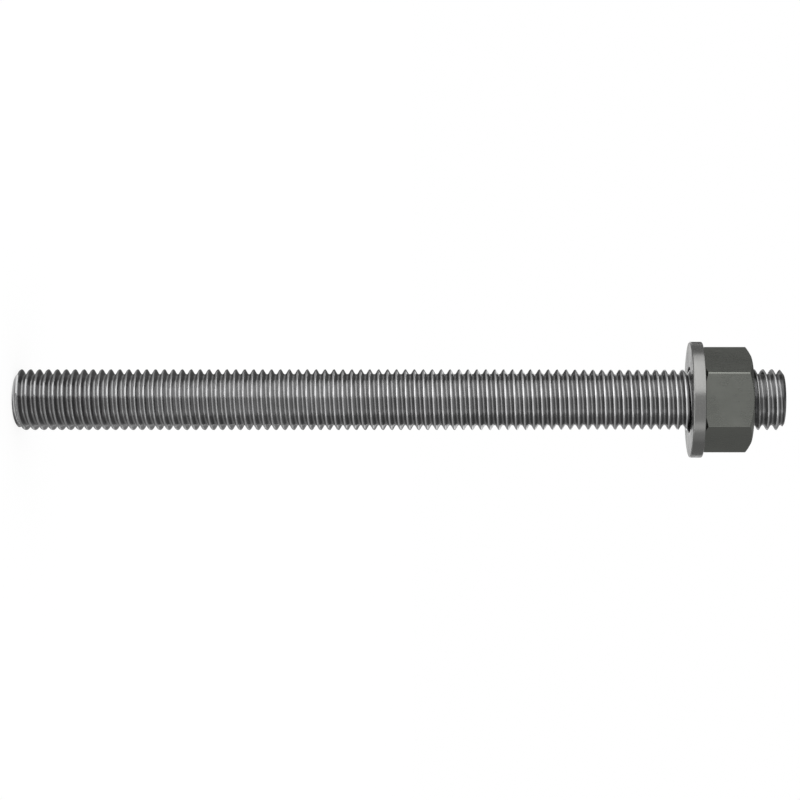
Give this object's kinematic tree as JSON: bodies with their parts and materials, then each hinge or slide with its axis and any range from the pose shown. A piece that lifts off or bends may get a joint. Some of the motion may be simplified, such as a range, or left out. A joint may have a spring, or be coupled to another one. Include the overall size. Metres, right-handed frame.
{
  "type": "threaded anchor rod",
  "caption": "Straight steel rod threaded from end to end, with a flat washer and a hexagon nut near one end, for anchoring a fixture.",
  "frame": {"origin": "centre of the plain end's face, the end that goes into the wall or floor", "axes": "+Z along the rod from the plain end to the nut end; one flat of the nut is square to -Y"},
  "size_m": [0.0228, 0.0226, 0.15],
  "materials": {
    "rod_steel": "bright rolled thread",
    "washer_steel": "satin stamped",
    "nut_steel": "satin forged"
  },
  "bodies": {
    "rod": {"threaded_rod": "rod_steel"},
    "washer": {"flat_washer": "washer_steel"},
    "nut": {"hex_nut": "nut_steel"}
  },
  "joints": [
    {"name": "washer_slide", "type": "slide", "parent": "rod", "child": "washer", "axis": [0, 0, 1], "range_m": [-0.128, 0.0055]},
    {"name": "nut_turn", "type": "hinge", "parent": "washer", "child": "nut", "pos_m": [0, 0, 0.13875], "axis": [0, 0, 1], "range_deg": [-26280, 1080]}
  ],
  "couplings": [
    {"joint": "washer_slide", "follows": "nut_turn", "m_per_rad": 0.00027852}
  ]
}
